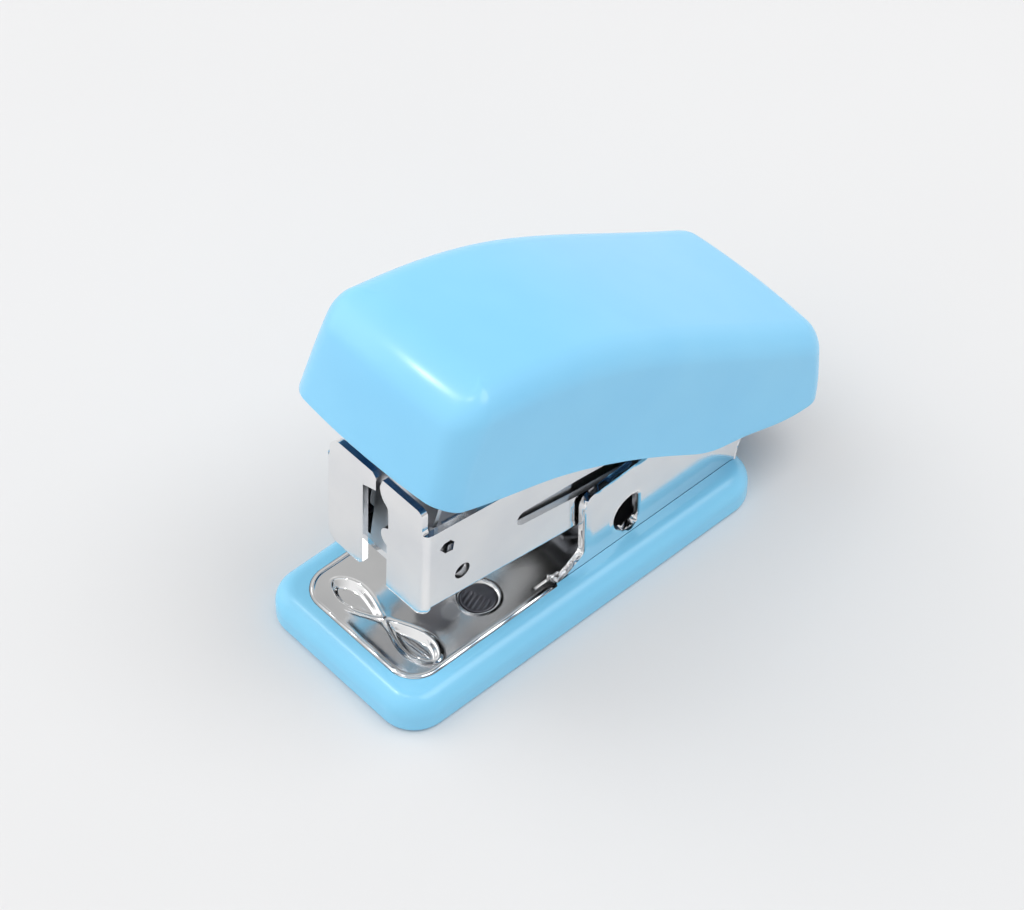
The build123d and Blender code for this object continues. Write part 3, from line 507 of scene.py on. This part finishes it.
def make_plate():
    """The pressed plate, on a grid that is finest round its edge, anvil, rivets and slots."""
    anvil_rows = [(PLATE_FRONT, 0.06), (3.3, 0.14), (10.4, 0.25)]
    rivet_rows = [(12.6, 0.13), (17.8, 0.3)]
    slot_rows = [(20.0, 0.12), (23.4, 0.6), (PLATE_REAR, 1)]
    ys = spaced(anvil_rows + rivet_rows + slot_rows)
    half_s = spaced([(0, 0.013), (0.815, 0.0065), (0.9, 0.013), (0.945, 0.006), (1.0, 1)])
    s = np.concatenate([-half_s[:0:-1], half_s])
    front = np.clip(ys - PLATE_FRONT, 0, PLATE_CORNER)
    half = APRON_HALF - PLATE_CORNER + np.sqrt(np.maximum(PLATE_CORNER**2 - (PLATE_CORNER - front) ** 2, 0))
    half = half + (PLATE_HALF - APRON_HALF) * smoothstep(APRON_REAR - 0.35, APRON_REAR + 0.05, ys)
    x = s[None, :] * half[:, None]
    y = np.repeat(ys[:, None], len(s), 1)
    z = PLATE_TOP + plate_height(x, y)
    points = np.stack([x, BASE_FRONT + y, z], -1) * MM
    plate = new_piece("frame_plate", points, rows_to_faces(len(ys), len(s)))
    outward(plate)
    if plate.data.polygons[0].normal.z < 0:
        plate.data.flip_normals()
    m = plate.modifiers.new("sheet", "SOLIDIFY")
    m.thickness, m.offset = FRAME_STEEL * MM, -1
    bevel(plate, 0.2, 3, 60)
    plate.data.materials.append(CHROME_PLATE)
    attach(plate, "base")
    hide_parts("base_frame")


make_plate()


def densify(loop, step):
    """Points along a closed loop, no more than a step apart."""
    loop = np.asarray(loop, float)
    out = []
    for a, b in zip(loop, np.roll(loop, -1, axis=0)):
        n = max(int(math.ceil(np.linalg.norm(b - a) / step)), 1)
        out += [a + (b - a) * k / n for k in range(n)]
    return np.array(out)


def arc(cx, cy, r, start, end, count):
    """Points on an arc from one angle to another, in degrees."""
    a = np.radians(np.linspace(start, end, count))
    return [(cx + r * math.cos(t), cy + r * math.sin(t)) for t in a]


def flat_sheet(outline, holes, step):
    """Points and triangles of a flat sheet inside an outline, with holes and a grid of inner points."""
    loops = [densify(loop, step) for loop in [outline, *holes]]
    points, edges = [], []
    for loop in loops:
        first = len(points)
        points += [tuple(p) for p in loop]
        edges += [(first + k, first + (k + 1) % len(loop)) for k in range(len(loop))]
    low, high = loops[0].min(0), loops[0].max(0)
    columns, rows = (np.arange(low[k] + step / 2, high[k], step) for k in (0, 1))
    gx, gy = np.meshgrid(columns, rows)
    gx, gy = gx.ravel(), gy.ravel()
    keep = signed_distance(gx, gy, loops[0]) < -0.45 * step
    for loop in loops[1:]:
        keep &= signed_distance(gx, gy, loop) > 0.45 * step
    points += list(zip(gx[keep], gy[keep]))
    made = delaunay_2d_cdt([Vector(p) for p in points], edges, [], 0, 1e-6)
    xy = np.array([tuple(v) for v in made[0]])
    middle = np.array([xy[list(f)].mean(0) for f in made[2]])
    inside = signed_distance(middle[:, 0], middle[:, 1], loops[0]) < 0
    for loop in loops[1:]:
        inside &= signed_distance(middle[:, 0], middle[:, 1], loop) > 0
    return xy, [tuple(f) for f, ok in zip(made[2], inside) if ok]


def spline_points(points, count):
    """Points on a natural spline, evenly spaced from its first point to its last."""
    s = natural_spline(points)
    x = np.linspace(points[0][0], points[-1][0], count)
    return list(zip(x, s(x)))


EAR_FRONT, PIN_AT = 25.65, 46.0  # from the base's front edge
EAR_MIDDLE, EAR_CURL = 8.0, 0.16  # the sheet's middle across, and how far its front edge turns out


def make_ear(name, side):
    """A side wall of the base frame: toe, rounded front, D-shaped hole and the eye for the pin."""
    outline = [(47.0, 3.25), (22.35, 3.25), (22.35, 4.0)]
    outline += [(23.2, 4.12), (24.0, 4.5), (24.7, 5.0), (25.25, 5.45), (25.55, 5.9)]
    outline += [(EAR_FRONT, 6.4), (EAR_FRONT, 12.4)] + arc(EAR_FRONT + 1.4, 12.4, 1.4, 180, 90, 8)[1:]
    outline += spline_points([(33.0, 14.12), (37.0, 14.45), (41.0, 15.1), (45.0, 15.7)], 14)
    outline += arc(PIN_AT, 12.2, 3.5, 90, 0, 14) + [(48.3, 7.6), (47.3, 5.4)]
    hole = arc(32.25, 7.25, 2.45, 68.4, 291.6, 30)
    eye = arc(PIN_AT, 12.2, 1.5, 0, 345, 24)
    yz, faces = flat_sheet(outline, [hole, eye], 0.55)
    curl = smoothstep(EAR_FRONT + 1.5, EAR_FRONT - 0.1, yz[:, 0]) ** 2 * smoothstep(4.6, 6.4, yz[:, 1])
    x = EAR_MIDDLE + EAR_CURL * curl
    points = np.stack([side * x, BASE_FRONT + yz[:, 0], yz[:, 1]], 1) * MM
    ear = outward(new_piece(name, points, faces))
    if ear.data.polygons[0].normal.x * side < 0:
        ear.data.flip_normals()
    m = ear.modifiers.new("sheet", "SOLIDIFY")
    m.thickness, m.offset = FRAME_STEEL * MM, 0
    bevel(ear, 0.13, 2, 60)
    ear.data.materials.append(CHROME)
    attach(ear, "base")
    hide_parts("base_frame")


make_ear("frame_ear_near", 1)
make_ear("frame_ear_far", -1)


def turned(name, centre, profile, sides, ridges):
    """A lathe piece about +Z through centre, in mm: profile is (radius, z) upwards, ridges mark its top."""
    a = np.linspace(0, 2 * math.pi, sides, endpoint=False)
    rows = []
    for r, z in profile:
        x, y = r * np.cos(a), r * np.sin(a)
        lift = ridges(x, y) if z >= profile[-1][1] - 1e-9 else 0
        rows.append(np.stack([centre[0] + x, centre[1] + y, z + lift + 0 * x], 1))
    piece = new_piece(name, np.concatenate(rows) * MM, rows_to_faces(len(rows), sides, closed=True))
    return outward(piece, merge=1e-7)


def rivet_ridges(x, y):
    """Grooves that the clinching tool leaves in one half of a rivet's head."""
    along = x * 0.94 + y * 0.34
    across = -x * 0.34 + y * 0.94
    half = smoothstep(0.5, -0.1, across) * smoothstep(1.75, 1.35, np.hypot(x, y))
    return -0.07 * half * (0.5 + 0.5 * np.cos(2 * math.pi * along / 0.52))


for name, side in (("frame_rivet_far", -1), ("frame_rivet_near", 1)):
    head = [(1.86, 3.66), (1.86, 3.78), (1.8, 3.86)] + [(r, 3.87) for r in np.linspace(1.74, 0.001, 22)]
    shape = [(0.001, 0.32), (1.3, 0.32), (1.5, 0.45), (1.5, 0.88), (1.0, 0.9), (1.0, 3.66)] + head
    rivet = turned(name, (side * RIVET_X, BASE_FRONT + RIVET_Y), shape, 96, rivet_ridges)
    rivet.data.materials.append(DARK)
    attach(rivet, "base")
    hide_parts("frame_rivets")

# ---------------------------------------------------------------- springs
COIL_FRONT, COIL_REAR, COIL_W = -35.95, -5.55, -0.3
COIL_R, COIL_WIRE, COIL_TURNS, PUSHER_TRAVEL = 1.55, 0.2, 26, 14.0
turn = np.linspace(0, 1, COIL_TURNS * 16 + 1)
coil_angle = turn * COIL_TURNS * 2 * math.pi
pusher_coil = tube(
    "pusher_coil",
    pitched(
        MAGAZINE_PITCH,
        COIL_R * np.cos(coil_angle),
        COIL_FRONT + (COIL_REAR - COIL_FRONT) * turn,
        COIL_W + COIL_R * np.sin(coil_angle),
    ),
    COIL_WIRE,
    8,
)
pusher_coil.data.materials.append(SPRING)
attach(pusher_coil, "magazine")
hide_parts("pusher_spring")
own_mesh(pusher_coil)

TORSION_R, TORSION_HALF, TORSION_TURNS, TORSION_WIRE = 2.35, 3.5, 9.42, 0.28
LEG_START, LEG_LENGTH, ARM_LENGTH = math.radians(-73.3), 6.6, 11.0


def torsion_line():
    """Lower leg, coil and arm of the handle spring, wound about the pin from -X to +X."""
    t = np.linspace(0, 1, int(TORSION_TURNS * 24))
    a = LEG_START + t * TORSION_TURNS * 2 * math.pi
    coil = np.stack([-TORSION_HALF + 2 * TORSION_HALF * t, TORSION_R * np.cos(a), TORSION_R * np.sin(a)], 1)
    enter = np.array([0, math.sin(a[0]), -math.cos(a[0])])
    leave = np.array([0, -math.sin(a[-1]), math.cos(a[-1])])
    leg = coil[0] + enter * np.linspace(LEG_LENGTH, 0, 18, endpoint=False)[:, None]
    arm = coil[-1] + leave * np.linspace(0, ARM_LENGTH, 26)[1:, None]
    xuw = np.concatenate([leg, coil, arm])
    return pitched(MAGAZINE_PITCH, xuw[:, 0], xuw[:, 1], xuw[:, 2])


torsion = tube("torsion_spring", torsion_line(), TORSION_WIRE, 10)
torsion.data.materials.append(SPRING)
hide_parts("handle_spring")
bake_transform(torsion)


LEAF_THICK, LEAF_LOW = 0.33, 4.175  # the leaf's sheet, and its middle where it lies on the plate


def make_leaf_spring():
    """Flat spring under the magazine: riveted down at the rear, a raised lip at its free end."""
    rise = natural_spline(
        [(38.2, LEAF_LOW), (34.8, 4.72), (31.6, 6.35), (30.0, 7.45), (29.2, 7.5), (28.4, 7.16)]
    )
    along = np.concatenate([np.linspace(43.4, 38.4, 8), np.linspace(38.2, 28.4, 36)])
    height = np.where(along > 38.2, LEAF_LOW, rise(along))
    width = 3.6 - 0.9 * smoothstep(31.5, 28.4, along) ** 2
    across = np.linspace(-1, 1, 17)
    x = across[None, :] * width[:, None]
    y, z = (np.repeat(v[:, None], len(across), 1) for v in (BASE_FRONT + along, height))
    points = np.stack([x, y, z], -1) * MM
    leaf = new_piece("return_leaf", points, rows_to_faces(len(along), len(across)))
    m = leaf.modifiers.new("sheet", "SOLIDIFY")
    m.thickness, m.offset = LEAF_THICK * MM, 0
    bevel(leaf, 0.08, 2)
    applied = bpy.data.meshes.new_from_object(leaf.evaluated_get(bpy.context.evaluated_depsgraph_get()))
    leaf.modifiers.clear()
    leaf.data = applied
    leaf.data.materials.append(SPRING)
    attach(leaf, "base")
    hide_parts("return_spring")
    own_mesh(leaf)


make_leaf_spring()

# ---------------------------------------------------------------- floor, light, camera
floor_points = [(-1.5, -1.5, 0), (1.5, -1.5, 0), (1.5, 1.5, 0), (-1.5, 1.5, 0)]
floor = new_piece("floor", floor_points, [(0, 1, 2, 3)])
floor_material, floor_tree, floor_shader = base_material("pale_floor")
floor_fac = ranged(floor_tree, noise(floor_tree, 14, 3), 0.3, 0.7, 0, 1)
floor_tree.links.new(
    mixed(floor_tree, floor_fac, (0.77, 0.77, 0.775), (0.755, 0.755, 0.76)), floor_shader.inputs["Base Color"]
)
floor_shader.inputs["Roughness"].default_value = 0.7
floor.data.materials.append(floor_material)

world = bpy.data.worlds.new("studio")
bpy.context.scene.world = world
world.use_nodes = True
sky = world.node_tree
direction = sky.nodes.new("ShaderNodeTexCoord")


def sky_factor(way, low, high, to_low, to_high):
    """A smooth change of the sky's strength towards one direction of the room."""
    toward = sky.nodes.new("ShaderNodeVectorMath")
    toward.operation = "DOT_PRODUCT"
    toward.inputs[1].default_value = Vector(way).normalized()
    sky.links.new(direction.outputs["Generated"], toward.inputs[0])
    return ranged(sky, toward.outputs["Value"], low, high, to_low, to_high)


def times(a, b):
    """The product of two values of the sky's node tree."""
    node = sky.nodes.new("ShaderNodeMath")
    node.operation = "MULTIPLY"
    sky.links.new(a, node.inputs[0])
    sky.links.new(b, node.inputs[1])
    return node.outputs[0]


dim = sky_factor((-0.484, 0.44, 0.757), 0.5, 0.93, 1.08, 0.54)
right_side = sky_factor((1.0, 0.05, 0.15), 0.05, 0.9, 1.0, 0.5)
front_side = sky_factor((0.1, -1.0, 0.1), 0.2, 0.95, 1.0, 0.95)
sky.links.new(times(times(dim, right_side), front_side), sky.nodes["Background"].inputs["Strength"])
sky.nodes["Background"].inputs["Color"].default_value = (1.0, 1.0, 1.0, 1)

TARGET = Vector((-6.494, 0.561, 5.0)) * MM
CAMERA_DISTANCE = 0.399


def area_light(name, direction, distance, size, power):
    """A round white light that looks at the target from a direction; metres and watts."""
    data = bpy.data.lights.new(name, "AREA")
    data.energy, data.shape, data.size = power, "DISK", size
    light = bpy.data.objects.new(name, data)
    bpy.context.scene.collection.objects.link(light)
    way = Vector(direction).normalized()
    light.location = TARGET + way * distance
    light.rotation_mode = "QUATERNION"
    light.rotation_quaternion = way.to_track_quat("Z", "Y")
    return light


glint = area_light("glint", (-0.38, -0.28, 0.86), 0.8, 0.04, 0.9)
second_glint = area_light("second_glint", (-0.108, -0.18, 0.97), 0.9, 0.03, 0.3)
glint.visible_diffuse = second_glint.visible_diffuse = False
key = area_light("key", (-0.55, -0.2, 0.8), 0.8, 0.6, 1.0)
key.visible_glossy = False
area_light("top", (0.3, 0.35, 1.0), 0.9, 0.6, 2.6)
area_light("left", (-0.9, -0.5, 0.5), 0.9, 0.7, 0.9)

camera_data = bpy.data.cameras.new("camera")
camera_data.lens, camera_data.sensor_width = 137.1, 36.0
camera_data.clip_start, camera_data.clip_end = 0.01, 10
camera = bpy.data.objects.new("camera", camera_data)
bpy.context.scene.collection.objects.link(camera)
azimuth, elevation, roll = (math.radians(v) for v in (47.73, 49.17, 0.13))
back = Vector(
    (math.sin(azimuth) * math.cos(elevation), -math.cos(azimuth) * math.cos(elevation), math.sin(elevation))
)
right = Vector((math.cos(azimuth), math.sin(azimuth), 0))
up = back.cross(right)
right, up = math.cos(roll) * right + math.sin(roll) * up, math.cos(roll) * up - math.sin(roll) * right
turned_axes = Matrix((right, up, back)).transposed().to_4x4()
camera.matrix_world = Matrix.Translation(TARGET + back * CAMERA_DISTANCE) @ turned_axes
bpy.context.scene.camera = camera
bpy.context.scene.view_settings.view_transform = "Standard"
